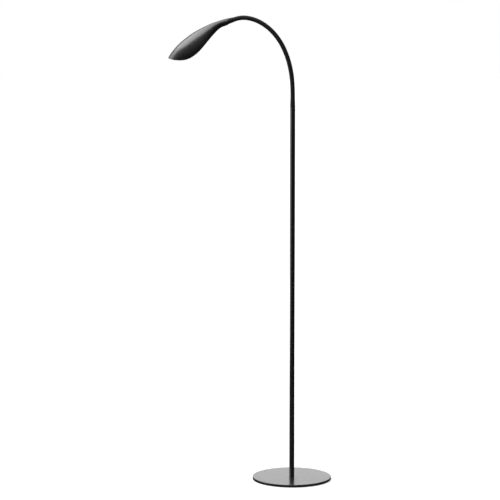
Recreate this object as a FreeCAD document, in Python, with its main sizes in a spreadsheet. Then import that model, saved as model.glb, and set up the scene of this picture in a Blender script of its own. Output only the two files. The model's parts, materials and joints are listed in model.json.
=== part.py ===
import FreeCAD, Part
import math
import os
import re
import Sketcher

# A gooseneck reading floor lamp, in millimetres.
# The origin is the centre of the underside of the base, on the axis of the pole. +Z is up, and the
# neck bends in the XZ plane, with the hood towards -X.

NECK_SECTIONS = 9

SIZES = {
    # floor base
    "base_radius": 125.0,
    "base_thickness": 7.8,
    "base_top_chamfer": 0.9,
    "base_low_chamfer": 0.5,
    "pad_thickness": 2.0,
    "pad_recess": 1.0,
    "pad_margin": 6.0,
    # clearances between pieces that seat in each other
    "fit_gap": 0.1,
    "slide_gap": 0.3,
    # countersunk screw that holds the pole to the base
    "pole_screw_radius": 4.0,
    "pole_screw_head_radius": 8.0,
    "pole_screw_length": 24.0,
    "pole_screw_sink": 0.3,
    "pole_screw_socket_radius": 2.9,
    "pole_screw_socket_depth": 2.6,
    "pole_screw_tip_chamfer": 1.0,
    # pole
    "pole_radius": 8.0,
    "pole_wall": 1.2,
    "pole_top": 1185.7,
    "pole_joint_height": 598.0,
    "pole_seam_chamfer": 0.2,
    "foot_insert_length": 30.0,
    "foot_spigot_radius": 6.0,
    "foot_spigot_length": 1.5,
    "joiner_length": 70.0,
    "joiner_bore_radius": 3.6,
    "top_insert_length": 20.0,
    # cable entry at the back of the pole
    "grommet_height": 50.0,
    "grommet_hole_radius": 3.6,
    "grommet_bore_radius": 2.5,
    "grommet_flange_radius": 5.2,
    "grommet_flange_thickness": 1.4,
    "grommet_lip_radius": 4.2,
    "grommet_lip_depth": 2.4,
    # flexible neck: each section turns by its own angle, in degrees
    "neck_radius": 7.0,
    "sleeve_wall": 1.4,
    "neck_section_length": 38.2,
    "neck_turn_1": 3.2,
    "neck_turn_2": 6.3,
    "neck_turn_3": 7.3,
    "neck_turn_4": 8.2,
    "neck_turn_5": 10.5,
    "neck_turn_6": 12.5,
    "neck_turn_7": 14.5,
    "neck_turn_8": 18.0,
    "neck_turn_9": 26.5,
    "hose_bore_radius": 2.4,
    "hose_end_gap": 1.4,
    "lead_radius": 2.0,
    "lead_end_gap": 0.7,
    "lead_start_above_grommet": 8.0,
    # ferrules and boots at the two ends of the neck
    "lower_boot_length": 33.0,
    "upper_boot_length": 24.5,
    "upper_boot_end_radius": 8.6,
    "ferrule_radius": 6.2,
    "ferrule_length": 20.0,
    "ferrule_floor": 5.0,
    "ferrule_shank_radius": 4.0,
    "ferrule_shank_length": 16.0,
    # hood
    "hood_tilt": 14.3,
    "hood_wall": 2.0,
    "hood_rear_wall": 3.0,
    "hood_washer_radius": 6.4,
    "hood_washer_thickness": 1.0,
    "hood_nut_corner_radius": 6.9,
    "hood_nut_height": 4.5,
    "hood_boss_radius": 3.0,
    "hood_boss_place": 196.0,
    "hood_boss_spread": 10.0,
    # tray that closes the hood from below and holds the light
    "tray_low": -2.4,
    "tray_thickness": 1.8,
    "tray_start": 24.0,
    "tray_screw_radius": 1.4,
    "tray_screw_head_radius": 2.7,
    "tray_screw_head_height": 1.6,
    "tray_screw_length": 6.0,
    # light box on the tray
    "light_centre": 124.0,
    "light_box_length": 112.0,
    "light_box_width": 38.0,
    "light_box_wall": 4.4,
    "light_box_height": 7.0,
    "window_lip": 3.6,
    "diffuser_thickness": 2.0,
    "board_thickness": 1.6,
    "board_screw_radius": 1.1,
    "board_screw_head_radius": 2.0,
    "board_screw_head_height": 1.3,
    "board_screw_length": 6.5,
    "board_screw_spread": 33.0,
    "emitter_side": 5.0,
    "emitter_height": 0.8,
    "emitter_pitch": 13.0,
    "emitter_end_gap": 5.0,
    "emitter_row_offset": 5.5,
    "thermal_pad_thickness": 0.5,
    "spreader_length": 72.0,
    "spreader_width": 28.0,
    "spreader_thickness": 2.0,
    "fin_height": 5.0,
    "fin_thickness": 1.5,
    "fin_pitch": 5.0,
    # terminal block and its two wires to the board
    "block_start": 34.0,
    "block_length": 12.0,
    "block_width": 10.5,
    "block_height": 12.6,
    "wire_radius": 0.6,
    "wire_offset": 2.5,
    "wire_reach_on_board": 8.0,
}

# Cross sections of the closed form that the hood is cut from, from the neck to the nose:
# place along the hood, half height, half width and height of the centre.
HOOD_SECTIONS = (
    (0.0, 9.1, 8.9, 0.0),
    (20.0, 10.3, 10.2, 4.8),
    (40.0, 13.0, 12.9, 7.0),
    (60.0, 19.6, 18.8, 3.6),
    (80.0, 27.6, 24.2, -2.5),
    (100.0, 35.8, 28.6, -9.5),
    (120.0, 41.2, 31.2, -15.0),
    (140.0, 43.3, 32.0, -19.0),
    (160.0, 42.7, 31.2, -21.0),
    (180.0, 39.1, 28.2, -22.0),
    (200.0, 32.5, 22.5, -22.5),
    (214.0, 26.8, 16.0, -23.0),
    (224.0, 18.8, 8.8, -24.0),
    (229.0, 9.0, 3.6, -24.5),
)

# Side view of the hood's rim, from the tail to the nose: place along the hood and height.
HOOD_RIM = (
    (42.0, -6.1),
    (57.0, -10.0),
    (84.0, -18.6),
    (112.0, -28.2),
    (137.0, -34.6),
    (158.0, -36.0),
    (176.0, -32.7),
    (194.0, -23.8),
    (211.0, -11.0),
    (221.5, 1.5),
)
RIM_CUT_REACH = 80.0

HEAT_FINS = 5

# Where the points of a sketch start, before their formulas place them.
GUESS_PLACE = 20.0
GUESS_RADIUS = 5.0

doc = FreeCAD.newDocument("reading_lamp")
sheet = doc.addObject("Spreadsheet::Sheet", "Sizes")
pieces = []


def fill_sheet():
    """Write every driving size into the sheet, each under its own alias."""
    rows = dict(SIZES)
    for number, (place, half_height, half_width, centre) in enumerate(HOOD_SECTIONS):
        rows["hood%d_place" % number] = place
        rows["hood%d_half_height" % number] = half_height
        rows["hood%d_half_width" % number] = half_width
        rows["hood%d_centre" % number] = centre
    for number, (place, height) in enumerate(HOOD_RIM):
        rows["rim%d_place" % number] = place
        rows["rim%d_height" % number] = height
    for row, (alias, value) in enumerate(rows.items(), start=1):
        sheet.set("A%d" % row, alias)
        sheet.set("B%d" % row, str(value))
        sheet.setAlias("B%d" % row, alias)
    doc.recompute()
    return set(rows)


ALIASES = fill_sheet()


def size(alias):
    """The value of one size in the sheet."""
    return float(sheet.get(alias))


def formula(text):
    """Put the sheet's name before each size named in an expression."""
    def named(match):
        word = match.group(0)
        return "Sizes." + word if word in ALIASES else word
    return re.sub(r"[A-Za-z_][A-Za-z_0-9]*", named, str(text))


def bind(obj, **formulas):
    """Tie properties of an object to formulas of the sizes."""
    for name, text in formulas.items():
        obj.setExpression(name, formula(text))
    return obj


def move(obj, x="0", y="0", z="0"):
    """Tie the place of an object to formulas of the sizes."""
    for axis, text in (("x", x), ("y", y), ("z", z)):
        obj.setExpression("Placement.Base." + axis, formula(text))
    return obj


def turn(obj, axis, angle):
    """Turn an object about one axis by a formula in degrees."""
    obj.Placement.Rotation = FreeCAD.Rotation(FreeCAD.Vector(*axis), 1)
    obj.setExpression("Placement.Rotation.Angle", formula(angle))
    return obj


def piece(obj, label, frame=None):
    """Name an object as a sub-part of the lamp and set it in its frame."""
    obj.Label = label
    if frame is not None:
        obj.Placement = frame
    pieces.append(obj)
    return obj


def box(name, length, width, height, x="0", y="0", z="0"):
    """A box that starts at x, y, z."""
    made = doc.addObject("Part::Box", name)
    bind(made, Length=length, Width=width, Height=height)
    return move(made, x, y, z)


def cylinder(name, radius, height, x="0", y="0", z="0"):
    """An upright cylinder whose lower end is at x, y, z."""
    made = doc.addObject("Part::Cylinder", name)
    bind(made, Radius=radius, Height=height)
    return move(made, x, y, z)


def cut(name, base, tool):
    """The base without the tool."""
    made = doc.addObject("Part::Cut", name)
    made.Base = base
    made.Tool = tool
    return made


def common(name, base, tool):
    """What the base and the tool share."""
    made = doc.addObject("Part::Common", name)
    made.Base = base
    made.Tool = tool
    return made


def joined(name, shapes):
    """Shapes fused into one."""
    made = doc.addObject("Part::MultiFuse", name)
    made.Shapes = shapes
    return made


def group(name, shapes):
    """Separate solids kept together."""
    made = doc.addObject("Part::Compound", name)
    made.Links = shapes
    return made


def origin_plane(body, role):
    """One of a body's own origin planes."""
    return next(feature for feature in body.Origin.OriginFeatures if feature.Role == role)


def new_sketch(body, role):
    """A sketch on one of a body's own origin planes."""
    sketch = body.newObject("Sketcher::SketchObject", body.Name + "_sketch")
    sketch.AttachmentSupport = [(origin_plane(body, role), "")]
    sketch.MapMode = "FlatFace"
    return sketch


def hold_point(sketch, line, end, x, y, guess):
    """Tie one point of a sketch to formulas for its two coordinates."""
    for kind, text, start in (("DistanceX", x, guess.x), ("DistanceY", y, guess.y)):
        index = sketch.addConstraint(Sketcher.Constraint(kind, -1, 1, line, end, start))
        sketch.setExpression("Constraints[%d]" % index, formula(text))


def draw_outline(sketch, outline):
    """A closed outline of straight lines through points given as formulas."""
    count = len(outline)
    guesses = []
    for number in range(count):
        angle = 2 * math.pi * number / count
        across = GUESS_PLACE + GUESS_RADIUS * math.cos(angle)
        guesses.append(FreeCAD.Vector(across, GUESS_RADIUS * math.sin(angle), 0))
    for number in range(count):
        following = (number + 1) % count
        sketch.addGeometry(Part.LineSegment(guesses[number], guesses[following]), False)
    for number in range(count):
        following = (number + 1) % count
        sketch.addConstraint(Sketcher.Constraint("Coincident", number, 2, following, 1))
    for number, (x, y) in enumerate(outline):
        hold_point(sketch, number, 1, x, y, guesses[number])


def turned(name, outline):
    """A body of revolution about its own Z axis, from (radius, height) formulas."""
    body = doc.addObject("PartDesign::Body", name)
    sketch = new_sketch(body, "XZ_Plane")
    draw_outline(sketch, outline)
    revolution = body.newObject("PartDesign::Revolution", name + "_revolution")
    revolution.Profile = sketch
    revolution.ReferenceAxis = (sketch, ["V_Axis"])
    revolution.Angle = 360
    return body


def draw_slot(sketch, centre, length, width):
    """A slot with round ends along the sketch's X axis."""
    first = sketch.GeometryCount
    axis = FreeCAD.Vector(0, 0, 1)
    quarter = math.pi / 2
    corners = [FreeCAD.Vector(-GUESS_PLACE, -GUESS_RADIUS, 0),
               FreeCAD.Vector(GUESS_PLACE, -GUESS_RADIUS, 0),
               FreeCAD.Vector(GUESS_PLACE, GUESS_RADIUS, 0),
               FreeCAD.Vector(-GUESS_PLACE, GUESS_RADIUS, 0)]
    rear = Part.Circle(FreeCAD.Vector(-GUESS_PLACE, 0, 0), axis, GUESS_RADIUS)
    front = Part.Circle(FreeCAD.Vector(GUESS_PLACE, 0, 0), axis, GUESS_RADIUS)
    sketch.addGeometry(Part.LineSegment(corners[0], corners[1]), False)
    sketch.addGeometry(Part.ArcOfCircle(front, -quarter, quarter), False)
    sketch.addGeometry(Part.LineSegment(corners[2], corners[3]), False)
    sketch.addGeometry(Part.ArcOfCircle(rear, quarter, 3 * quarter), False)
    low_side, front_arc, high_side, rear_arc = range(first, first + 4)
    for one, following in ((low_side, front_arc), (front_arc, high_side),
                           (high_side, rear_arc), (rear_arc, low_side)):
        sketch.addConstraint(Sketcher.Constraint("Coincident", one, 2, following, 1))
    rear_place = "%s - ((%s) - (%s)) / 2" % (centre, length, width)
    front_place = "%s + ((%s) - (%s)) / 2" % (centre, length, width)
    low_edge = "-(%s) / 2" % width
    high_edge = "(%s) / 2" % width
    hold_point(sketch, low_side, 1, rear_place, low_edge, corners[0])
    hold_point(sketch, low_side, 2, front_place, low_edge, corners[1])
    hold_point(sketch, high_side, 1, front_place, high_edge, corners[2])
    hold_point(sketch, high_side, 2, rear_place, high_edge, corners[3])
    for arc, place, guess in ((rear_arc, rear_place, -GUESS_PLACE),
                              (front_arc, front_place, GUESS_PLACE)):
        index = sketch.addConstraint(Sketcher.Constraint("DistanceX", -1, 1, arc, 3, guess))
        sketch.setExpression("Constraints[%d]" % index, formula(place))


def slot_plate(name, length, width, low, thickness, bore=None):
    """A plate with round ends along the hood, centred on the light, with an optional slot in it."""
    body = doc.addObject("PartDesign::Body", name)
    sketch = new_sketch(body, "XY_Plane")
    sketch.setExpression("AttachmentOffset.Base.z", formula(low))
    draw_slot(sketch, "light_centre", length, width)
    if bore is not None:
        draw_slot(sketch, "light_centre", bore[0], bore[1])
    pad = body.newObject("PartDesign::Pad", name + "_pad")
    pad.Profile = sketch
    bind(pad, Length=thickness)
    return body


# ---- floor base and pole ------------------------------------------------------------------------

BASE_LOW = "(pad_thickness - pad_recess)"
BASE_TOP = "(pad_thickness - pad_recess + base_thickness)"
PAD_RADIUS = "(base_radius - pad_margin)"
SCREW_LOW = "(pad_thickness + pole_screw_sink)"
SCREW_NECK = "(pad_thickness + pole_screw_sink + pole_screw_head_radius - pole_screw_radius)"
POLE_BORE = "(pole_radius - pole_wall)"
INSERT_RADIUS = "(pole_radius - pole_wall - fit_gap)"
HOSE_RADIUS = "(neck_radius - sleeve_wall - slide_gap)"
SLEEVE_BORE = "(neck_radius - sleeve_wall)"


def make_base():
    """The steel floor disc, its anti-slip pad and the screw that holds the pole."""
    spigot_floor = BASE_TOP + " - foot_spigot_length"
    spigot_bore = "foot_spigot_radius + fit_gap"
    head_bore = "pole_screw_head_radius + fit_gap"
    shank_bore = "pole_screw_radius + fit_gap"
    plate = turned("base_disc", [
        (shank_bore, SCREW_NECK),
        (shank_bore, spigot_floor),
        (spigot_bore, spigot_floor),
        (spigot_bore, BASE_TOP),
        ("base_radius - base_top_chamfer", BASE_TOP),
        ("base_radius", BASE_TOP + " - base_top_chamfer"),
        ("base_radius", BASE_LOW + " + base_low_chamfer"),
        ("base_radius - base_low_chamfer", BASE_LOW),
        (PAD_RADIUS + " + fit_gap", BASE_LOW),
        (PAD_RADIUS + " + fit_gap", "pad_thickness"),
        (head_bore, "pad_thickness"),
        (head_bore, SCREW_LOW),
    ])
    piece(plate, "base_plate")
    piece(cylinder("pad_disc", PAD_RADIUS, "pad_thickness"), "base_pad")
    screw_end = SCREW_LOW + " + pole_screw_length"
    blank = turned("pole_screw_blank", [
        ("0", SCREW_LOW),
        ("pole_screw_head_radius", SCREW_LOW),
        ("pole_screw_radius", SCREW_NECK),
        ("pole_screw_radius", screw_end + " - pole_screw_tip_chamfer"),
        ("pole_screw_radius - pole_screw_tip_chamfer", screw_end),
        ("0", screw_end),
    ])
    socket = doc.addObject("Part::Prism", "pole_screw_socket")
    socket.Polygon = 6
    bind(socket, Circumradius="pole_screw_socket_radius", Height="pole_screw_socket_depth")
    move(socket, z=SCREW_LOW)
    piece(cut("pole_screw_cut", blank, socket), "pole_screw")


def make_pole():
    """Two steel tubes with the inserts and the joiner inside them."""
    foot_top = BASE_TOP + " + foot_insert_length"
    screw_bore = "pole_screw_radius + fit_gap"
    foot = turned("foot_plug", [
        (screw_bore, BASE_TOP + " - foot_spigot_length"),
        ("foot_spigot_radius", BASE_TOP + " - foot_spigot_length"),
        ("foot_spigot_radius", BASE_TOP),
        (INSERT_RADIUS, BASE_TOP),
        (INSERT_RADIUS, foot_top),
        (screw_bore, foot_top),
    ])
    piece(foot, "pole_foot_insert")
    lower = turned("lower_tube_blank", [
        (POLE_BORE, BASE_TOP),
        ("pole_radius", BASE_TOP),
        ("pole_radius", "pole_joint_height - pole_seam_chamfer"),
        ("pole_radius - pole_seam_chamfer", "pole_joint_height"),
        (POLE_BORE, "pole_joint_height"),
    ])
    entry = cylinder("cable_hole", "grommet_hole_radius", "2 * pole_radius", z="grommet_height")
    turn(entry, (-1, 0, 0), "90")
    piece(cut("lower_tube_cut", lower, entry), "pole_lower_tube")
    joiner = turned("joiner_sleeve", [
        ("joiner_bore_radius", "pole_joint_height - joiner_length / 2"),
        (INSERT_RADIUS, "pole_joint_height - joiner_length / 2"),
        (INSERT_RADIUS, "pole_joint_height + joiner_length / 2"),
        ("joiner_bore_radius", "pole_joint_height + joiner_length / 2"),
    ])
    piece(joiner, "pole_joiner")
    upper = turned("upper_tube", [
        (POLE_BORE, "pole_joint_height"),
        ("pole_radius - pole_seam_chamfer", "pole_joint_height"),
        ("pole_radius", "pole_joint_height + pole_seam_chamfer"),
        ("pole_radius", "pole_top"),
        (POLE_BORE, "pole_top"),
    ])
    piece(upper, "pole_upper_tube")
    thread_bore = "ferrule_shank_radius + fit_gap"
    top = turned("top_plug", [
        (thread_bore, "pole_top - top_insert_length"),
        (INSERT_RADIUS, "pole_top - top_insert_length"),
        (INSERT_RADIUS, "pole_top"),
        (thread_bore, "pole_top"),
    ])
    piece(top, "pole_top_insert")


def make_grommet():
    """The rubber grommet through the back wall of the pole, where the mains cable enters."""
    across = (-1, 0, 0)
    outer_end = "pole_radius + grommet_flange_thickness"
    flange = cylinder("grommet_flange", "grommet_flange_radius", outer_end, z="grommet_height")
    turn(flange, across, "90")
    stretch_low = "grommet_height - 2 * grommet_flange_radius"
    stretch = "4 * grommet_flange_radius"
    pole_solid = cylinder("grommet_pole", "pole_radius", stretch, z=stretch_low)
    saddle = cut("grommet_saddle", flange, pole_solid)
    lip_start = "(" + POLE_BORE + " - grommet_lip_depth)"
    lip = cylinder("grommet_lip", "grommet_lip_radius", "pole_radius", y=lip_start, z="grommet_height")
    turn(lip, across, "90")
    bore_solid = cylinder("grommet_bore_wall", POLE_BORE, stretch, z=stretch_low)
    inner_lip = common("grommet_inner_lip", lip, bore_solid)
    throat = cylinder("grommet_throat", "grommet_hole_radius - fit_gap", outer_end + " - " + lip_start,
                      y=lip_start, z="grommet_height")
    turn(throat, across, "90")
    bore = cylinder("grommet_bore", "grommet_bore_radius", "2 * pole_radius", z="grommet_height")
    turn(bore, across, "90")
    whole = joined("grommet_whole", [saddle, inner_lip, throat])
    piece(cut("grommet_cut", whole, bore), "cord_grommet")


# ---- flexible neck ------------------------------------------------------------------------------

def neck_frames():
    """Frames at the ends of the neck's sections: Z along the neck, -X to the inside of the bend."""
    start = FreeCAD.Vector(0, 0, size("pole_top") + size("lower_boot_length"))
    frames = [FreeCAD.Placement(start, FreeCAD.Rotation())]
    for number in range(1, NECK_SECTIONS + 1):
        angle = size("neck_turn_%d" % number)
        radius = size("neck_section_length") / math.radians(angle)
        rise = radius * math.sin(math.radians(angle))
        lean = radius * (1 - math.cos(math.radians(angle)))
        step = FreeCAD.Placement(
            FreeCAD.Vector(-lean, 0, rise), FreeCAD.Rotation(FreeCAD.Vector(0, -1, 0), angle))
        frames.append(frames[-1].multiply(step))
    return frames


def round_face(name, radius, bore=None):
    """A flat round face in the XY plane, with an optional hole in it."""
    circles = []
    for part_name, text in (("_edge", radius), ("_bore", bore)):
        if text is not None:
            circle = doc.addObject("Part::Circle", name + part_name)
            circles.append(bind(circle, Radius=text))
    face = doc.addObject("Part::Face", name)
    face.FaceMakerClass = "Part::FaceMakerBullseye"
    face.Sources = circles
    return face


def bent(name, face, section, share, ahead):
    """A face swept along a share of one neck section, ahead of the face or behind it."""
    made = doc.addObject("Part::Revolution", name)
    made.Source = face
    made.Solid = True
    made.Axis = FreeCAD.Vector(0, -1 if ahead else 1, 0)
    turn_name = "neck_turn_%d" % section
    radius = "neck_section_length * 180 / (pi * %s)" % turn_name
    made.setExpression("Base.x", formula("-" + radius))
    bind(made, Angle="%s * (%s)" % (turn_name, share))
    return made


def straight(name, face, length, ahead):
    """A face pushed straight along the neck, ahead of it or behind it."""
    made = doc.addObject("Part::Extrusion", name)
    made.Base = face
    made.Solid = True
    made.DirMode = "Custom"
    made.Dir = FreeCAD.Vector(0, 0, 1 if ahead else -1)
    bind(made, LengthFwd=length)
    return made


def make_sleeves(frames):
    """The smooth silicone sleeve, one section about each bending place."""
    ring = round_face("sleeve_ring", "neck_radius", SLEEVE_BORE)
    for number in range(1, NECK_SECTIONS + 1):
        sleeve = bent("sleeve_arc_%d" % number, ring, number, "1", True)
        piece(sleeve, "neck_sleeve_%d" % number, frames[number - 1])


def make_core(label, face, frames, end_gap, lower_end, upper_end, names):
    """A chain of stiff lengths inside the neck, parted at every bending place."""
    half = "0.5 - %s / neck_section_length" % end_gap
    for number in range(NECK_SECTIONS + 1):
        stem = "%s_%d" % (label, number)
        if number == 0:
            behind = straight(stem + "_behind", face, lower_end, False)
        else:
            behind = bent(stem + "_behind", face, number, half, False)
        if number == NECK_SECTIONS:
            ahead = straight(stem + "_ahead", face, upper_end, True)
        else:
            ahead = bent(stem + "_ahead", face, number + 1, half, True)
        piece(joined(stem + "_whole", [behind, ahead]), names[number], frames[number])


def make_hoses(frames):
    """The wound steel hose that holds the neck's shape."""
    face = round_face("hose_ring", HOSE_RADIUS, "hose_bore_radius")
    lower_end = "lower_boot_length - ferrule_floor - fit_gap"
    upper_end = "upper_boot_length - ferrule_floor - fit_gap"
    names = ["neck_hose_%d" % number for number in range(NECK_SECTIONS + 1)]
    make_core("hose", face, frames, "hose_end_gap", lower_end, upper_end, names)


def make_leads(frames):
    """The two-core lead from the pole, through the neck, to the terminal block in the hood."""
    face = round_face("lead_disc", "lead_radius")
    start = "(grommet_height + grommet_hole_radius + lead_start_above_grommet)"
    lower_end = "pole_top + lower_boot_length - " + start
    reach = "(block_start - fit_gap - lead_radius * sin(hood_tilt)) / cos(hood_tilt)"
    upper_end = "upper_boot_length + " + reach
    names = ["neck_lead_%d" % number for number in range(NECK_SECTIONS + 1)]
    names[0] = "pole_lead"
    names[-1] = "hood_lead"
    make_core("lead", face, frames, "lead_end_gap", lower_end, upper_end, names)


def ferrule_outline(seat, away, shank_length):
    """Half section of a ferrule whose shank screws in at the seat; away is + or - along the axis."""
    back = "-" if away == "+" else "+"
    rim = "%s %s ferrule_length" % (seat, away)
    floor = "%s %s ferrule_floor" % (seat, away)
    shank_end = "%s %s %s" % (seat, back, shank_length)
    passage = "hose_bore_radius"
    cup_bore = HOSE_RADIUS + " + fit_gap"
    return [
        (passage, shank_end),
        ("ferrule_shank_radius", shank_end),
        ("ferrule_shank_radius", seat),
        ("ferrule_radius", seat),
        ("ferrule_radius", rim),
        (cup_bore, rim),
        (cup_bore, floor),
        (passage, floor),
    ]


def boot_outline(seat, away, length, seat_radius):
    """Half section of the tapered boot over a ferrule, from its seat to the neck."""
    step = "%s %s (ferrule_length + slide_gap)" % (seat, away)
    end = "%s %s %s" % (seat, away, length)
    wide_bore = "ferrule_radius + fit_gap"
    return [
        (wide_bore, seat),
        (seat_radius, seat),
        ("neck_radius", end),
        (SLEEVE_BORE, end),
        (SLEEVE_BORE, step),
        (wide_bore, step),
    ]


def make_neck_ends(hood_start):
    """The ferrules that the hose is crimped in, and the tapered boots over them."""
    lower = turned("lower_ferrule", ferrule_outline("pole_top", "+", "ferrule_shank_length"))
    piece(lower, "neck_ferrule_lower")
    boot = turned("lower_boot", boot_outline("pole_top", "+", "lower_boot_length", "pole_radius"))
    piece(boot, "neck_boot_lower")
    upper = turned("upper_ferrule", ferrule_outline("0", "-", "ferrule_shank_length"))
    piece(upper, "neck_ferrule_upper", hood_start)
    end_boot = turned(
        "upper_boot", boot_outline("0", "-", "upper_boot_length", "upper_boot_end_radius"))
    piece(end_boot, "neck_boot_upper", hood_start)
    washer = turned("hood_washer_ring", [
        ("ferrule_shank_radius + fit_gap", "hood_rear_wall"),
        ("hood_washer_radius", "hood_rear_wall"),
        ("hood_washer_radius", "hood_rear_wall + hood_washer_thickness"),
        ("ferrule_shank_radius + fit_gap", "hood_rear_wall + hood_washer_thickness"),
    ])
    piece(washer, "hood_washer", hood_start)
    nut = doc.addObject("Part::Prism", "hood_nut_blank")
    nut.Polygon = 6
    bind(nut, Circumradius="hood_nut_corner_radius", Height="hood_nut_height")
    move(nut, z="hood_rear_wall + hood_washer_thickness")
    thread = cylinder("hood_nut_thread", "ferrule_shank_radius + fit_gap", "hood_nut_height",
                      z="hood_rear_wall + hood_washer_thickness")
    piece(cut("hood_nut_cut", nut, thread), "hood_nut", hood_start)


# ---- hood ---------------------------------------------------------------------------------------
# In the hood's own frame X runs from the neck to the nose, Z is up from that line, and the hood is
# alike on both sides of Y = 0.

WIDEST_ROW = max(range(len(HOOD_SECTIONS)), key=lambda row: HOOD_SECTIONS[row][2])
HOOD_HALF_WIDTH = "hood%d_half_width" % WIDEST_ROW
HOOD_HEIGHT = "(2 * hood%d_half_height)" % WIDEST_ROW
TRAY_TOP = "(tray_low + tray_thickness)"
BOX_INNER_LENGTH = "(light_box_length - 2 * light_box_wall)"
BOX_INNER_WIDTH = "(light_box_width - 2 * light_box_wall)"
WINDOW_LENGTH = "(light_box_length - 2 * light_box_wall - 2 * window_lip)"
WINDOW_WIDTH = "(light_box_width - 2 * light_box_wall - 2 * window_lip)"
BOARD_LOW = "(tray_low + tray_thickness + light_box_height)"
BOARD_TOP = "(tray_low + tray_thickness + light_box_height + board_thickness)"


def hood_form(name, inset, rear="0"):
    """The closed form of the hood, drawn in by an inset, from a rear plane to the nose."""
    rings = []
    for number in range(len(HOOD_SECTIONS)):
        stem = "hood%d_" % number
        ring = doc.addObject("Part::Ellipse", "%s_ring_%d" % (name, number))
        bind(ring, MajorRadius="%shalf_height - (%s)" % (stem, inset))
        bind(ring, MinorRadius="%shalf_width - (%s)" % (stem, inset))
        if number == 0:
            turn(ring, (0, -1, 0), "90 + hood_tilt")
            move(ring, x="(%s) * cos(hood_tilt)" % rear, z="(%s) * sin(hood_tilt)" % rear)
        else:
            lean = "hood_tilt / 2" if number == 1 else "0"
            turn(ring, (0, -1, 0), "90 + " + lean)
            move(ring, x=stem + "place", z=stem + "centre")
        rings.append(ring)
    form = doc.addObject("Part::Loft", name)
    form.Sections = rings
    form.Solid = True
    form.Ruled = False
    return form


def rim_cutter():
    """Everything below the hood's rim and beyond its nose."""
    points = []
    for number in range(len(HOOD_RIM)):
        place = size("rim%d_place" % number)
        height = size("rim%d_height" % number)
        points.append(FreeCAD.Vector(place, -RIM_CUT_REACH, height))
    curve = Part.BSplineCurve()
    curve.interpolate(points)
    above = points[-1] + FreeCAD.Vector(0, 0, RIM_CUT_REACH)
    beyond = above + FreeCAD.Vector(RIM_CUT_REACH, 0, 0)
    below = beyond - FreeCAD.Vector(0, 0, 3 * RIM_CUT_REACH)
    under = FreeCAD.Vector(points[0].x, -RIM_CUT_REACH, below.z)
    corners = [points[-1], above, beyond, below, under, points[0]]
    edges = [curve.toShape()]
    for first, second in zip(corners, corners[1:]):
        edges.append(Part.LineSegment(first, second).toShape())
    cutter = doc.addObject("Part::Feature", "rim_cutter")
    face = Part.Face(Part.Wire(edges))
    cutter.Shape = face.extrude(FreeCAD.Vector(0, 2 * RIM_CUT_REACH, 0))
    return cutter


def boss_places():
    """Where the two tray screws and their bosses stand: place along the hood and to the side."""
    return [("hood_boss_place", "-hood_boss_spread"), ("hood_boss_place", "hood_boss_spread")]


def make_hood_shell(hood_frame):
    """The moulded hood with its rear wall and the two screw bosses under its roof."""
    outer = hood_form("hood_outer", "0")
    inner = hood_form("hood_inner", "hood_wall", "hood_rear_wall")
    shell = cut("hood_hollow", outer, inner)
    posts = []
    pilots = []
    for number, (place, side) in enumerate(boss_places()):
        posts.append(cylinder("hood_post_%d" % number, "hood_boss_radius", HOOD_HEIGHT,
                              x=place, y=side, z=TRAY_TOP))
        pilots.append(cylinder("hood_pilot_%d" % number, "tray_screw_radius + fit_gap",
                               "tray_screw_length", x=place, y=side, z="tray_low"))
    bosses = common("hood_bosses", joined("hood_posts", posts), outer)
    rear_hole = cylinder("hood_rear_hole", "ferrule_shank_radius + fit_gap", "2 * hood_rear_wall")
    turn(rear_hole, (0, 1, 0), "90 - hood_tilt")
    tools = joined("hood_tools", [rim_cutter(), rear_hole] + pilots)
    whole = joined("hood_with_bosses", [shell, bosses])
    piece(cut("hood_cut", whole, tools), "hood_shell", hood_frame)


def screw_columns():
    """Where the four board screws stand: place along the hood and to the side."""
    side = "(light_box_width - light_box_wall) / 2"
    places = []
    for along in ("-", "+"):
        for across in ("-", ""):
            places.append(("light_centre %s board_screw_spread" % along, across + side))
    return places


def make_tray(hood_frame):
    """The white tray under the hood, with the light box on it and the window through it."""
    limit = hood_form("tray_limit", "hood_wall + slide_gap")
    nose = "hood%d_place" % (len(HOOD_SECTIONS) - 1)
    slab = box("tray_slab", nose, "2 * " + HOOD_HALF_WIDTH, "tray_thickness",
               x="tray_start", y="-" + HOOD_HALF_WIDTH, z="tray_low")
    floor = common("tray_floor", slab, limit)
    wall = slot_plate("light_box", "light_box_length", "light_box_width", TRAY_TOP,
                      "light_box_height", (BOX_INNER_LENGTH, BOX_INNER_WIDTH))
    window = slot_plate("tray_window", WINDOW_LENGTH, WINDOW_WIDTH, "tray_low", "tray_thickness")
    holes = [window]
    for number, (place, side) in enumerate(boss_places()):
        holes.append(cylinder("tray_hole_%d" % number, "tray_screw_radius + fit_gap",
                              "tray_thickness", x=place, y=side, z="tray_low"))
    for number, (place, side) in enumerate(screw_columns()):
        holes.append(cylinder("box_hole_%d" % number, "board_screw_radius + fit_gap",
                              "board_screw_length", x=place, y=side,
                              z=BOARD_TOP + " - board_screw_length"))
    whole = joined("tray_whole", [floor, wall])
    piece(cut("tray_cut", whole, joined("tray_holes", holes)), "lamp_tray", hood_frame)


def make_tray_screws(hood_frame):
    """The two screws that hold the tray up to the bosses of the hood."""
    screws = []
    for number, (place, side) in enumerate(boss_places()):
        screw = turned("tray_screw_%d" % number, [
            ("0", "tray_low - tray_screw_head_height"),
            ("tray_screw_head_radius", "tray_low - tray_screw_head_height"),
            ("tray_screw_head_radius", "tray_low"),
            ("tray_screw_radius", "tray_low"),
            ("tray_screw_radius", "tray_low + tray_screw_length - slide_gap"),
            ("0", "tray_low + tray_screw_length - slide_gap"),
        ])
        screws.append(move(screw, x=place, y=side))
    piece(group("tray_screw_set", screws), "tray_screws", hood_frame)


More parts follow.
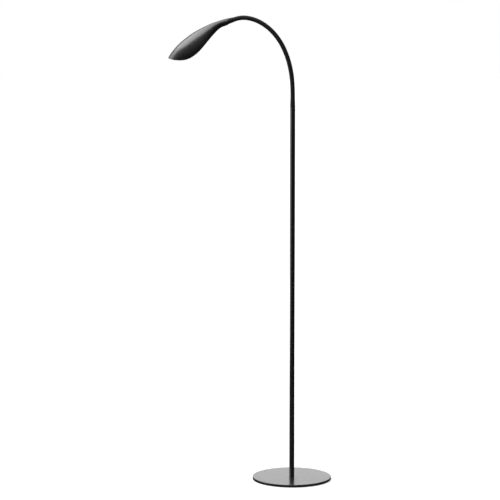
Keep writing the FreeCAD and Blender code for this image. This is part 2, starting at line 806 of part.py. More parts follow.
def make_diffuser(hood_frame):
    """The opal diffuser over the window and the white liner that holds it down."""
    diffuser = slot_plate("diffuser_plate", BOX_INNER_LENGTH + " - 2 * fit_gap",
                          BOX_INNER_WIDTH + " - 2 * fit_gap", TRAY_TOP, "diffuser_thickness")
    piece(diffuser, "diffuser", hood_frame)
    liner = slot_plate("liner_ring", BOX_INNER_LENGTH + " - 2 * fit_gap",
                       BOX_INNER_WIDTH + " - 2 * fit_gap", TRAY_TOP + " + diffuser_thickness",
                       "light_box_height - diffuser_thickness", (WINDOW_LENGTH, WINDOW_WIDTH))
    piece(liner, "reflector_liner", hood_frame)


def make_board(hood_frame):
    """The light board with its emitters and screws."""
    plate = slot_plate("board_plate", "light_box_length", "light_box_width", BOARD_LOW,
                       "board_thickness")
    holes = []
    screws = []
    for number, (place, side) in enumerate(screw_columns()):
        holes.append(cylinder("board_hole_%d" % number, "board_screw_radius + fit_gap",
                              "board_thickness", x=place, y=side, z=BOARD_LOW))
        screw = turned("board_screw_%d" % number, [
            ("0", BOARD_TOP + " - board_screw_length + slide_gap"),
            ("board_screw_radius", BOARD_TOP + " - board_screw_length + slide_gap"),
            ("board_screw_radius", BOARD_TOP),
            ("board_screw_head_radius", BOARD_TOP),
            ("board_screw_head_radius", BOARD_TOP + " + board_screw_head_height"),
            ("0", BOARD_TOP + " + board_screw_head_height"),
        ])
        screws.append(move(screw, x=place, y=side))
    board = cut("board_cut", plate, joined("board_holes", holes))
    piece(board, "led_board", hood_frame)
    piece(group("board_screw_set", screws), "board_screws", hood_frame)
    window_length = size("light_box_length") - 2 * size("light_box_wall") - 2 * size("window_lip")
    emitter_room = window_length - size("emitter_side") - 2 * size("emitter_end_gap")
    columns = int(emitter_room // size("emitter_pitch")) + 1
    emitters = []
    for column in range(columns):
        steps = column - (columns - 1) / 2
        for side in ("-", ""):
            emitters.append(box(
                "emitter_%d" % len(emitters), "emitter_side", "emitter_side", "emitter_height",
                x="light_centre + %s * emitter_pitch - emitter_side / 2" % steps,
                y="%semitter_row_offset - emitter_side / 2" % side,
                z=BOARD_LOW + " - emitter_height"))
    piece(group("emitter_set", emitters), "led_emitters", hood_frame)


def make_heat_spreader(hood_frame):
    """The finned aluminium extrusion on the back of the board, and the pad between them."""
    start = "light_centre - spreader_length / 2"
    pad = box("thermal_sheet", "spreader_length", "spreader_width", "thermal_pad_thickness",
              x=start, y="-spreader_width / 2", z=BOARD_TOP)
    piece(group("thermal_sheet_set", [pad]), "thermal_pad", hood_frame)
    low = BOARD_TOP + " + thermal_pad_thickness"
    root = low + " + spreader_thickness"
    tip = root + " + fin_height"
    outline = [("-spreader_width / 2", root), ("-spreader_width / 2", low),
               ("spreader_width / 2", low), ("spreader_width / 2", root)]
    for number in reversed(range(HEAT_FINS)):
        centre = "%s * fin_pitch" % (number - (HEAT_FINS - 1) / 2)
        outline.append((centre + " + fin_thickness / 2", root))
        outline.append((centre + " + fin_thickness / 2", tip))
        outline.append((centre + " - fin_thickness / 2", tip))
        outline.append((centre + " - fin_thickness / 2", root))
    body = doc.addObject("PartDesign::Body", "spreader_bar")
    sketch = new_sketch(body, "YZ_Plane")
    sketch.setExpression("AttachmentOffset.Base.z", formula(start))
    draw_outline(sketch, outline)
    bar = body.newObject("PartDesign::Pad", "spreader_bar_pad")
    bar.Profile = sketch
    bind(bar, Length="spreader_length")
    piece(body, "heat_spreader", hood_frame)


def make_terminal_block(hood_frame):
    """The terminal block on the tray and the two short wires from it to the board."""
    block = box("block_body", "block_length", "block_width", "block_height",
                x="block_start", y="-block_width / 2", z=TRAY_TOP)
    piece(group("block_set", [block]), "terminal_block", hood_frame)
    block_end = "(block_start + block_length)"
    board_start = "(light_centre - light_box_length / 2)"
    wires = []
    for number, side in enumerate(("-", "")):
        wire = cylinder("board_wire_%d" % number, "wire_radius",
                        "%s + wire_reach_on_board - %s" % (board_start, block_end),
                        x=block_end, y=side + "wire_offset",
                        z=BOARD_TOP + " + wire_radius + fit_gap / 2")
        wires.append(turn(wire, (0, 1, 0), "90"))
    piece(group("board_wire_set", wires), "board_wires", hood_frame)


def make_lamp():
    """Build every sub-part in its place."""
    make_base()
    make_pole()
    make_grommet()
    frames = neck_frames()
    make_sleeves(frames)
    make_hoses(frames)
    make_leads(frames)
    hood_start = frames[-1].multiply(
        FreeCAD.Placement(FreeCAD.Vector(0, 0, size("upper_boot_length")), FreeCAD.Rotation()))
    make_neck_ends(hood_start)
    tilt = math.radians(size("hood_tilt"))
    forward = FreeCAD.Vector(-math.sin(tilt), 0, math.cos(tilt))
    upward = FreeCAD.Vector(math.cos(tilt), 0, math.sin(tilt))
    hood_turn = FreeCAD.Rotation(forward, FreeCAD.Vector(0, -1, 0), upward, "XZY")
    hood_frame = hood_start.multiply(FreeCAD.Placement(FreeCAD.Vector(), hood_turn))
    make_hood_shell(hood_frame)
    make_tray(hood_frame)
    make_tray_screws(hood_frame)
    make_diffuser(hood_frame)
    make_board(hood_frame)
    make_heat_spreader(hood_frame)
    make_terminal_block(hood_frame)


def check_and_write():
    """Stop on any failed object or empty solid, then write each sub-part to its file."""
    doc.recompute()
    for obj in doc.Objects:
        if "Invalid" in obj.State or "Error" in obj.State:
            raise RuntimeError("%s failed: %s" % (obj.Name, obj.State))
    os.makedirs("parts", exist_ok=True)
    for obj in pieces:
        shape = obj.Shape
        if shape.isNull() or not shape.isValid() or not shape.Solids:
            raise RuntimeError("%s has no valid solid" % obj.Label)
        shape.exportStep("parts/%s.step" % obj.Label)
        print("%-22s %2d solids %12.1f mm3" % (obj.Label, len(shape.Solids), shape.Volume))
    print("%d sub-parts" % len(pieces))


make_lamp()
check_and_write()
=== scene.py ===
"""Dress the gooseneck reading floor lamp: its fine pieces, finishes, studio and camera.

All places are in metres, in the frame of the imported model: the origin is the centre of the underside of the
base, +Z is up, and the neck bends over towards -X.
"""

import json
import logging
import math
from dataclasses import dataclass
from enum import Enum
from typing import Any, Optional, Sequence, Union

import bmesh
import bpy
from mathutils import Matrix, Vector


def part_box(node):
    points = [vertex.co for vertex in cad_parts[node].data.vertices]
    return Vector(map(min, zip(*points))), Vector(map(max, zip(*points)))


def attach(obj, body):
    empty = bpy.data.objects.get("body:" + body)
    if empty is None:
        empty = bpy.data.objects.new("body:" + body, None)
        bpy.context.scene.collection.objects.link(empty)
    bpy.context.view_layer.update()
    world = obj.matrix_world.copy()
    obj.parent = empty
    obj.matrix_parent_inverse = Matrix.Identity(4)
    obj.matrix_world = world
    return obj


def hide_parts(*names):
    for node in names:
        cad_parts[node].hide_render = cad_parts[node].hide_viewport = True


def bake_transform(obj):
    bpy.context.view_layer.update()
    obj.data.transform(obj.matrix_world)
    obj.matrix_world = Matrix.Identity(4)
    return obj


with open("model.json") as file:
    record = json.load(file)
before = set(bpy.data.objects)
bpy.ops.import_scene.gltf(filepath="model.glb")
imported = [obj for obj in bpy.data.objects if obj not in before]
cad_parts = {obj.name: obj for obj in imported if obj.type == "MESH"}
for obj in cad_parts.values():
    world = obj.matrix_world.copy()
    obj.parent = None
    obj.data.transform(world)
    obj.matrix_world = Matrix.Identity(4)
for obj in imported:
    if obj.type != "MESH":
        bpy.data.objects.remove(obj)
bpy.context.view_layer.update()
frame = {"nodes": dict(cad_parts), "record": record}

log = logging.getLogger("reading_lamp")

Colour = tuple[float, float, float]
Outline = Sequence[tuple[float, float]]


# ---- shader maths ------------------------------------------------------------------------------

class Signal:
    """An output socket that takes part in Python arithmetic."""

    def __init__(self, tree: "ShaderTree", socket: bpy.types.NodeSocket) -> None:
        """Keep the socket and the tree that new nodes go into."""
        self.tree = tree
        self.socket = socket

    def maths(self, operation: str, first: "Value", second: "Value" = 0.0) -> "Signal":
        """Add one Math node.

        Args:
            operation: Blender's name of the operation.
            first: The first number or signal.
            second: The second number or signal.

        Returns:
            The node's result.
        """
        return self.tree.add("ShaderNodeMath", {"operation": operation}, {0: first, 1: second})

    def __add__(self, other: "Value") -> "Signal":
        """Sum with a number or another signal."""
        return self.maths("ADD", self, other)

    def __radd__(self, other: "Value") -> "Signal":
        """Sum with a number on the left."""
        return self.maths("ADD", other, self)

    def __sub__(self, other: "Value") -> "Signal":
        """Difference from a number or another signal."""
        return self.maths("SUBTRACT", self, other)

    def __rsub__(self, other: "Value") -> "Signal":
        """Difference from a number on the left."""
        return self.maths("SUBTRACT", other, self)

    def __mul__(self, other: "Value") -> "Signal":
        """Product with a number or another signal."""
        return self.maths("MULTIPLY", self, other)

    def __rmul__(self, other: "Value") -> "Signal":
        """Product with a number on the left."""
        return self.maths("MULTIPLY", other, self)

    def larger(self, other: "Value") -> "Signal":
        """The larger of this and another value."""
        return self.maths("MAXIMUM", self, other)

    def clamped(self) -> "Signal":
        """This value held between 0 and 1."""
        return self.maths("MINIMUM", self.maths("MAXIMUM", self, 0.0), 1.0)


Value = Union[float, Signal]


class ShaderTree:
    """The node tree of one material or of the world."""

    def __init__(self, owner: Union[bpy.types.Material, bpy.types.World]) -> None:
        """Start an empty tree in its owner."""
        owner.use_nodes = True
        self.nodes = owner.node_tree.nodes
        self.links = owner.node_tree.links
        self.nodes.clear()

    def add(self, kind: str, settings: Optional[dict[str, Any]] = None,
            sockets: Optional[dict[Any, Any]] = None, output: Union[int, str] = 0) -> Signal:
        """Add one node.

        Args:
            kind: The node's type.
            settings: Its settings, set before its sockets; "stops" fills a colour ramp.
            sockets: Values or signals for its inputs, by name or number.
            output: The output to hand back, by name or number.

        Returns:
            The chosen output as a signal.
        """
        made = self.nodes.new(kind)
        for name, value in (settings or {}).items():
            if name == "stops":
                self._set_stops(made.color_ramp, value)
            else:
                setattr(made, name, value)
        for key, value in (sockets or {}).items():
            if isinstance(value, Signal):
                self.links.new(value.socket, made.inputs[key])
            else:
                made.inputs[key].default_value = value
        return Signal(self, made.outputs[output])

    def finish(self, kind: str, surface: Signal) -> None:
        """End the tree in an output node of the given type."""
        self.links.new(surface.socket, self.nodes.new(kind).inputs["Surface"])

    @staticmethod
    def _set_stops(ramp: bpy.types.ColorRamp, stops: Sequence[tuple[float, float]]) -> None:
        """Give a ramp grey stops at the given places."""
        while len(ramp.elements) < len(stops):
            ramp.elements.new(1.0)
        for element, (place, grey) in zip(ramp.elements, stops):
            element.position = place
            element.color = (grey, grey, grey, 1.0)

    def noise(self, place: Signal, size: float, detail: float = 2.0) -> Signal:
        """Noise whose features are about the given size in metres."""
        return self.add("ShaderNodeTexNoise", {}, {"Vector": place, "Scale": 1.0 / size, "Detail": detail})

    def stretched(self, place: Signal, scale: Sequence[float], tilt: float = 0.0) -> Signal:
        """Coordinates scaled along the axes of a frame tilted about Y by an angle in radians."""
        turned_place = self.add("ShaderNodeVectorRotate", {"rotation_type": "Y_AXIS"},
                                {"Vector": place, "Angle": tilt})
        return self.add("ShaderNodeMapping", {"vector_type": "POINT"},
                        {"Vector": turned_place, "Scale": tuple(scale)})

    def ramp(self, factor: Signal, stops: Sequence[tuple[float, float]]) -> Signal:
        """A grey ramp of a signal."""
        return self.add("ShaderNodeValToRGB", {"stops": stops}, {"Fac": factor})

    def blend(self, factor: Value, first: Any, second: Any) -> Signal:
        """A mix of two colours."""
        return self.add("ShaderNodeMix", {"data_type": "RGBA"}, {0: factor, 6: first, 7: second}, 2)

    def relief(self, layers: Sequence[tuple[Signal, float]]) -> Signal:
        """Stack bumps, each with its own depth in metres, into one normal."""
        normal: Optional[Signal] = None
        for height, depth in layers:
            sockets: dict[Any, Any] = {"Height": height, "Distance": depth, "Strength": 1.0}
            if normal is not None:
                sockets["Normal"] = normal
            normal = self.add("ShaderNodeBump", {}, sockets)
        return normal


def opaque(colour: Colour) -> tuple[float, float, float, float]:
    """A colour with full alpha."""
    return (*colour, 1.0)


def shade(colour: Colour, share: float) -> tuple[float, float, float, float]:
    """A colour made lighter or darker by a share."""
    return (colour[0] * share, colour[1] * share, colour[2] * share, 1.0)


# ---- finishes ----------------------------------------------------------------------------------

class Anchor(Enum):
    """What a pattern holds on to."""

    OBJECT = "object"
    SKIN = "rest_place"


@dataclass(frozen=True)
class Finish:
    """What every finish has: a name, a colour and where its pattern holds."""

    name: str
    colour: Colour
    roughness: float = 0.4
    anchor: Anchor = Anchor.OBJECT

    def material(self) -> bpy.types.Material:
        """Build the finish as a new material."""
        made = bpy.data.materials.new(self.name)
        tree = ShaderTree(made)
        if self.anchor is Anchor.OBJECT:
            place = tree.add("ShaderNodeTexCoord", output="Object")
        else:
            place = tree.add("ShaderNodeAttribute", {"attribute_name": self.anchor.value}, output="Vector")
        tree.finish("ShaderNodeOutputMaterial", self.surface(tree, place))
        return made

    def surface(self, tree: ShaderTree, place: Signal) -> Signal:
        """Wire the shader of the finish.

        Args:
            tree: The tree to build in.
            place: The coordinates that the pattern reads.

        Returns:
            The shader.
        """
        raise NotImplementedError

    def principled(self, tree: ShaderTree, **sockets: Any) -> Signal:
        """A Principled shader with this finish's colour and roughness unless others are given."""
        values: dict[Any, Any] = {"Base Color": opaque(self.colour), "Roughness": self.roughness}
        values.update({name.replace("_", " "): value for name, value in sockets.items()})
        return tree.add("ShaderNodeBsdfPrincipled", {}, values)


@dataclass(frozen=True)
class SatinPaint(Finish):
    """Sprayed satin paint: a faint orange peel, a slow wave in its gloss and specks of dust."""

    index: float = 1.6
    coat: float = 1.0
    coat_index: float = 1.7
    coat_roughness: float = 0.22
    peel_size: float = 0.0011
    peel_depth: float = 0.000002
    wave_size: float = 0.05
    speck_size: float = 0.0012
    speck_lift: float = 1.8

    def coat_share(self, tree: ShaderTree, place: Signal) -> Value:
        """How much of the gloss coat lies at a place."""
        return self.coat

    def surface(self, tree: ShaderTree, place: Signal) -> Signal:
        """Wire the paint."""
        peel = tree.noise(place, self.peel_size, 3.0)
        wave = tree.noise(place, self.wave_size, 2.0)
        specks = tree.ramp(tree.noise(place, self.speck_size, 1.0), [(0.70, 0.0), (0.78, 1.0)])
        tone = tree.blend(wave, shade(self.colour, 0.85), shade(self.colour, 1.2))
        colour = tree.blend(specks * 0.35, tone, shade(self.colour, self.speck_lift))
        gloss = self.roughness + (wave - 0.5) * 0.06 + (peel - 0.5) * 0.05 + specks * 0.1
        return self.principled(
            tree, Base_Color=colour, Roughness=gloss.clamped(), IOR=self.index,
            Coat_Weight=self.coat_share(tree, place), Coat_IOR=self.coat_index,
            Coat_Roughness=self.coat_roughness, Normal=tree.relief([(peel, self.peel_depth)]))


@dataclass(frozen=True)
class TaperedPaint(SatinPaint):
    """Satin paint whose gloss coat thins out towards one end of the piece."""

    thin_end: tuple[float, float, float] = (0.0, 0.0, 0.0)
    thin_reach: float = 0.1
    thin_share: float = 0.2

    def coat_share(self, tree: ShaderTree, place: Signal) -> Signal:
        """A coat that grows from its thin end to full."""
        away = tree.add("ShaderNodeVectorMath", {"operation": "DISTANCE"},
                        {0: place, 1: self.thin_end}, "Value")
        rise = (away * (1.0 / self.thin_reach)).clamped()
        return rise * (self.coat * (1.0 - self.thin_share)) + self.coat * self.thin_share


@dataclass(frozen=True)
class SoftSkin(Finish):
    """Silicone, rubber or foam: matt, with a fine grain and a dusty bloom."""

    grain_size: float = 0.0006
    grain_depth: float = 0.00002
    bloom: float = 1.35
    gloss: float = 0.4

    def surface(self, tree: ShaderTree, place: Signal) -> Signal:
        """Wire the soft surface."""
        grain = tree.noise(place, self.grain_size, 4.0)
        cloud = tree.noise(place, 0.014, 3.0)
        colour = tree.blend((cloud - 0.35).clamped(), opaque(self.colour), shade(self.colour, self.bloom))
        gloss = self.roughness + (cloud - 0.5) * 0.14 + (grain - 0.5) * 0.08
        return self.principled(
            tree, Base_Color=colour, Roughness=gloss.clamped(), Specular_IOR_Level=self.gloss,
            Normal=tree.relief([(cloud, self.grain_depth * 2.0), (grain, self.grain_depth)]))


@dataclass(frozen=True)
class MouldedPlastic(Finish):
    """Injection moulded plastic with an eroded grain and slight flow marks."""

    grain_size: float = 0.0005
    grain_depth: float = 0.000012
    gloss: float = 0.5
    glow: float = 0.0

    def surface(self, tree: ShaderTree, place: Signal) -> Signal:
        """Wire the plastic."""
        grain = tree.add("ShaderNodeTexVoronoi", {"feature": "SMOOTH_F1"},
                         {"Vector": place, "Scale": 1.0 / self.grain_size, "Smoothness": 0.7})
        flow = tree.noise(tree.stretched(place, (1.0, 3.0, 1.0)), 0.02, 3.0)
        colour = tree.blend(flow, shade(self.colour, 0.94), shade(self.colour, 1.05))
        gloss = self.roughness + (flow - 0.5) * 0.12 + (grain - 0.5) * 0.1
        return self.principled(
            tree, Base_Color=colour, Roughness=gloss.clamped(), Specular_IOR_Level=self.gloss,
            Subsurface_Weight=self.glow, Subsurface_Radius=(0.004, 0.004, 0.004), Subsurface_Scale=1.0,
            Normal=tree.relief([(grain, self.grain_depth)]))


@dataclass(frozen=True)
class PlatedMetal(Finish):
    """Plated or bare turned metal with a cloudy film and fine tool marks."""

    tint: Colour = (0.55, 0.52, 0.45)
    mark_size: float = 0.00025

    def surface(self, tree: ShaderTree, place: Signal) -> Signal:
        """Wire the metal."""
        film = tree.noise(place, 0.004, 3.0)
        marks = tree.noise(tree.stretched(place, (0.15, 0.15, 1.0)), self.mark_size, 2.0)
        colour = tree.blend((film - 0.3).clamped(), opaque(self.colour), opaque(self.tint))
        gloss = self.roughness + (film - 0.5) * 0.2 + (marks - 0.5) * 0.12
        return self.principled(
            tree, Base_Color=colour, Roughness=gloss.clamped(), Metallic=1.0,
            Normal=tree.relief([(marks, 0.000004)]))


@dataclass(frozen=True)
class DrawnAluminium(Finish):
    """Extruded aluminium with long die lines."""

    tilt: float = 0.0

    def surface(self, tree: ShaderTree, place: Signal) -> Signal:
        """Wire the extrusion."""
        lines = tree.noise(tree.stretched(place, (0.02, 1.0, 1.0), self.tilt), 0.0004, 3.0)
        haze = tree.noise(place, 0.012, 2.0)
        colour = tree.blend(haze, shade(self.colour, 0.88), shade(self.colour, 1.05))
        gloss = self.roughness + (lines - 0.5) * 0.25
        return self.principled(
            tree, Base_Color=colour, Roughness=gloss.clamped(), Metallic=1.0,
            Normal=tree.relief([(lines, 0.000008)]))


@dataclass(frozen=True)
class WoundSteel(Finish):
    """Interlocked steel strip, wound into a hose: close round ribs with an oily film."""

    rib_pitch: float = 0.0022

    def surface(self, tree: ShaderTree, place: Signal) -> Signal:
        """Wire the ribs, with painted shade darkening the grooves between them."""
        ribs = tree.add("ShaderNodeTexWave", {"wave_type": "BANDS", "bands_direction": "Z"},
                        {"Vector": place, "Scale": 1.0 / (self.rib_pitch * 3.18), "Distortion": 0.0})
        film = tree.noise(place, 0.006, 3.0)
        # Painted shade: the colour drops to 55% in the grooves between the ribs, where shade would fall.
        colour = tree.blend(ribs, shade(self.colour, 0.55), opaque(self.colour))
        return self.principled(
            tree, Base_Color=colour, Roughness=(self.roughness + (film - 0.5) * 0.2).clamped(),
            Metallic=1.0, Normal=tree.relief([(ribs, 0.0004)]))


@dataclass(frozen=True)
class OpalSheet(Finish):
    """Opal acrylic: white all through, with a fine frosted face."""

    def surface(self, tree: ShaderTree, place: Signal) -> Signal:
        """Wire the sheet."""
        frost = tree.noise(place, 0.0004, 3.0)
        cloud = tree.noise(place, 0.02, 2.0)
        colour = tree.blend(cloud, shade(self.colour, 0.97), opaque(self.colour))
        return self.principled(
            tree, Base_Color=colour, Roughness=(self.roughness + (frost - 0.5) * 0.15).clamped(),
            Subsurface_Weight=0.6, Subsurface_Radius=(0.006, 0.006, 0.006), Subsurface_Scale=1.0,
            Normal=tree.relief([(frost, 0.000006)]))


@dataclass(frozen=True)
class PrintedBoard(Finish):
    """A white solder mask over copper, with the copper's edges showing through."""

    track_size: float = 0.007

    def surface(self, tree: ShaderTree, place: Signal) -> Signal:
        """Wire the board."""
        tracks = tree.ramp(
            tree.add("ShaderNodeTexVoronoi", {"feature": "DISTANCE_TO_EDGE"},
                     {"Vector": place, "Scale": 1.0 / self.track_size}), [(0.03, 0.0), (0.06, 1.0)])
        weave = tree.noise(place, 0.0006, 2.0)
        colour = tree.blend(tracks, shade(self.colour, 0.82), opaque(self.colour))
        return self.principled(
            tree, Base_Color=colour, Roughness=(self.roughness + (weave - 0.5) * 0.12).clamped(),
            Normal=tree.relief([(tracks, 0.00003)]))


HOOD_TILT = math.radians(31.3)
HOOD_TAIL = (-0.2007825, 0.0, 1.453199)

FINISHES: dict[str, Finish] = {
    "base_paint": SatinPaint("base_paint", (0.006, 0.006, 0.0063), 0.36, coat_roughness=0.2),
    "pole_paint": SatinPaint("pole_paint", (0.005, 0.005, 0.0053), 0.30, coat_roughness=0.16),
    "hood_black": TaperedPaint("hood_black", (0.0045, 0.0045, 0.0047), 0.38, coat_roughness=0.27,
                               peel_size=0.0009, peel_depth=0.0000005, thin_end=HOOD_TAIL,
                               thin_reach=0.12, thin_share=0.0),
    "pad_rubber": SoftSkin("pad_rubber", (0.022, 0.022, 0.023), 0.85, grain_size=0.0012,
                           grain_depth=0.00006),
    "grommet_rubber": SoftSkin("grommet_rubber", (0.014, 0.014, 0.015), 0.6),
    "sleeve_silicone": SoftSkin("sleeve_silicone", (0.010, 0.010, 0.0105), 0.6, Anchor.SKIN, gloss=0.2),
    "boot_plastic": MouldedPlastic("boot_plastic", (0.011, 0.011, 0.0115), 0.62, gloss=0.25),
    "tray_white": MouldedPlastic("tray_white", (0.78, 0.78, 0.76), 0.42, glow=0.15),
    "block_white": MouldedPlastic("block_white", (0.72, 0.71, 0.66), 0.5, glow=0.1),
    "zinc_steel": PlatedMetal("zinc_steel", (0.62, 0.64, 0.66), 0.32),
    "brass": PlatedMetal("brass", (0.72, 0.50, 0.20), 0.28, tint=(0.52, 0.33, 0.12)),
    "hose_steel": WoundSteel("hose_steel", (0.45, 0.45, 0.46), 0.38),
    "lead_sheath": SoftSkin("lead_sheath", (0.03, 0.03, 0.031), 0.5),
    "wire_red": SoftSkin("wire_red", (0.42, 0.03, 0.025), 0.45),
    "opal": OpalSheet("opal", (0.88, 0.88, 0.86), 0.35),
    "board_white": PrintedBoard("board_white", (0.80, 0.80, 0.78), 0.35),
    "phosphor": OpalSheet("phosphor", (0.78, 0.62, 0.16), 0.4),
    "thermal_grey": SoftSkin("thermal_grey", (0.28, 0.29, 0.31), 0.8, grain_size=0.0015),
    "spreader_aluminium": DrawnAluminium("spreader_aluminium", (0.72, 0.72, 0.73), 0.34, tilt=HOOD_TILT),
}


class Wardrobe:
    """The materials made so far, one for each finish of the record."""

    def __init__(self, record: dict[str, Any]) -> None:
        """Read which finish each node wears from the record."""
        self.slot_of = {row["node"]: row["material_slot"] for row in record["subparts"]}
        self.made: dict[str, bpy.types.Material] = {}

    def material(self, slot: str) -> bpy.types.Material:
        """The material of one slot, made at its first use."""
        if slot not in self.made:
            self.made[slot] = FINISHES[slot].material()
        return self.made[slot]

    def dress_node(self, node: str) -> None:
        """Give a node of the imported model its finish."""
        target = frame["nodes"][node]
        for slot in target.material_slots:
            slot.material = self.material(self.slot_of[node])

    def dress_piece(self, piece: bpy.types.Object, slot: str) -> None:
        """Give a new piece the finish of one slot."""
        piece.data.materials.clear()
        piece.data.materials.append(self.material(slot))


# ---- modelling by hand -------------------------------------------------------------------------

NEAR = 1e-6


def edit(piece: bpy.types.Object) -> None:
    """Open a piece in edit mode with nothing selected."""
    bpy.ops.object.select_all(action="DESELECT")
    piece.select_set(True)
    bpy.context.view_layer.objects.active = piece
    bpy.ops.object.mode_set(mode="EDIT")
    bpy.ops.mesh.select_mode(type="VERT")
    bpy.ops.mesh.select_all(action="DESELECT")


def pick(piece: bpy.types.Object, places: Sequence[Vector]) -> None:
    """Select only the vertices of the open piece that lie at the given places."""
    bpy.ops.mesh.select_all(action="DESELECT")
    mesh = bmesh.from_edit_mesh(piece.data)
    for vertex in mesh.verts:
        if any((vertex.co - place).length < NEAR for place in places):
            vertex.select = True
    mesh.select_flush_mode()
    bmesh.update_edit_mesh(piece.data)


def close_shape(smooth_angle: float = 30.0) -> None:
    """Weld the open piece, turn its faces outwards, leave edit mode and smooth it."""
    bpy.ops.mesh.select_all(action="SELECT")
    bpy.ops.mesh.remove_doubles(threshold=NEAR)
    bpy.ops.mesh.normals_make_consistent(inside=False)
    bpy.ops.object.mode_set(mode="OBJECT")
    bpy.ops.object.shade_smooth_by_angle(angle=math.radians(smooth_angle))


def settle(piece: bpy.types.Object, place: Matrix) -> None:
    """Move a piece's mesh to its place and leave its object at the origin."""
    piece.data.transform(place)
    piece.matrix_world = Matrix.Identity(4)
    bpy.context.view_layer.update()


def welded_copy(node: str, name: str) -> bpy.types.Object:
    """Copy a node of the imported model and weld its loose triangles.

    Args:
        node: The node to copy.
        name: The copy's name.

    Returns:
        The copy, with its faces joined.
    """
    piece = frame["nodes"][node].copy()
    piece.data = piece.data.copy()
    piece.name = name
    bpy.context.scene.collection.objects.link(piece)
    edit(piece)
    bpy.ops.mesh.select_all(action="SELECT")
    bpy.ops.mesh.remove_doubles(threshold=NEAR)
    bpy.ops.object.mode_set(mode="OBJECT")
    bpy.ops.mesh.customdata_custom_splitnormals_clear()
    return piece


def finish_with(piece: bpy.types.Object, kind: str, settings: dict[str, Any]) -> None:
    """Add one modifier to a piece and apply it."""
    bpy.ops.object.select_all(action="DESELECT")
    piece.select_set(True)
    bpy.context.view_layer.objects.active = piece
    modifier = piece.modifiers.new(kind.lower(), kind)
    for name, value in settings.items():
        setattr(modifier, name, value)
    bpy.ops.object.modifier_apply(modifier=modifier.name)


def turned(name: str, outline: Outline, rounds: dict[int, float], steps: int = 64) -> bpy.types.Object:
    """Draw a half section point by point, round some of its corners and spin it about Z.

    Args:
        name: The piece's name.
        outline: Radius and height of each corner of the closed half section.
        rounds: Radius of the round at a corner, by the corner's number.
        steps: Steps of the spin.

    Returns:
        The closed piece, at the origin.
    """
    corners = [Vector((radius, 0.0, height)) for radius, height in outline]
    bpy.ops.object.select_all(action="DESELECT")
    bpy.ops.mesh.primitive_plane_add(size=0.001, location=corners[0])
    piece = bpy.context.object
    piece.name = name
    bpy.ops.object.transform_apply(location=True, rotation=True, scale=True)
    bpy.ops.object.mode_set(mode="EDIT")
    bpy.ops.mesh.select_all(action="SELECT")
    bpy.ops.mesh.merge(type="CENTER")
    for corner, following in zip(corners, corners[1:]):
        bpy.ops.mesh.extrude_region_move(TRANSFORM_OT_translate={"value": following - corner})
    bpy.ops.mesh.select_mode(type="VERT")
    pick(piece, [corners[0], corners[-1]])
    bpy.ops.mesh.edge_face_add()
    for number, radius in rounds.items():
        pick(piece, [corners[number]])
        bpy.ops.mesh.bevel(offset=radius, segments=4, affect="VERTICES")
    bpy.ops.mesh.select_all(action="SELECT")
    bpy.ops.mesh.spin(steps=steps, angle=2 * math.pi, center=(0, 0, 0), axis=(0, 0, 1))
    close_shape()
    return piece


# ---- the lamp ----------------------------------------------------------------------------------

MM = 0.001


@dataclass
class FloorStand:
    """The weighted disc, the pole and what is inside them."""

    radius: float = 125.0 * MM
    low: float = 1.0 * MM
    top: float = 8.8 * MM
    top_round: float = 0.9 * MM
    low_round: float = 0.5 * MM
    pad_radius: float = 119.1 * MM
    pad_top: float = 2.0 * MM
    edge_support: float = 1.6
    disc_steps: int = 192
    grommet_height: float = 50.0 * MM
    grommet_bore: float = 2.5 * MM
    grommet_rounds: tuple[float, float, float, float] = (0.3 * MM, 0.4 * MM, 1.0 * MM, 0.6 * MM)
    grommet_steps: int = 48
    body: str = "stand"

    def make_disc(self, wardrobe: Wardrobe) -> bpy.types.Object:
        """The turned steel disc with its rolled edge, pad recess, countersink and spigot seat."""
        outline = [
            (4.1 * MM, 6.3 * MM), (4.1 * MM, 7.3 * MM), (6.1 * MM, 7.3 * MM), (6.1 * MM, self.top),
            (7.1 * MM, self.top), (self.radius - self.edge_support * self.top_round, self.top),
            (self.radius, self.top), (self.radius, self.low), (self.pad_radius, self.low),
            (self.pad_radius, self.pad_top), (8.1 * MM, self.pad_top), (8.1 * MM, 2.3 * MM),
        ]
        disc = turned("base_disc", outline, {6: self.top_round, 7: self.low_round}, self.disc_steps)
        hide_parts("base_plate")
        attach(disc, self.body)
        wardrobe.dress_piece(disc, "base_paint")
        return disc

    def make_grommet(self, wardrobe: Wardrobe) -> bpy.types.Object:
        """The rubber grommet in the cable hole, with a softly rounded flange and a rolled throat."""
        outline = [
            (self.grommet_bore, 4.4 * MM), (4.2 * MM, 4.4 * MM), (4.2 * MM, 6.1 * MM),
            (5.2 * MM, 6.1 * MM), (5.2 * MM, 9.4 * MM), (self.grommet_bore, 9.4 * MM),
        ]
        rounds = dict(zip((0, 1, 4, 5), self.grommet_rounds))
        grommet = turned("soft_grommet", outline, rounds, self.grommet_steps)
        hole = Matrix.Translation((0.0, 0.0, self.grommet_height))
        settle(grommet, hole @ Matrix.Rotation(-math.pi / 2, 4, "X"))
        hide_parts("cord_grommet")
        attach(grommet, self.body)
        wardrobe.dress_piece(grommet, "grommet_rubber")
        return grommet

    def build(self, wardrobe: Wardrobe) -> None:
        """Make the stand's new pieces."""
        report(self.make_disc(wardrobe))
        report(self.make_grommet(wardrobe))


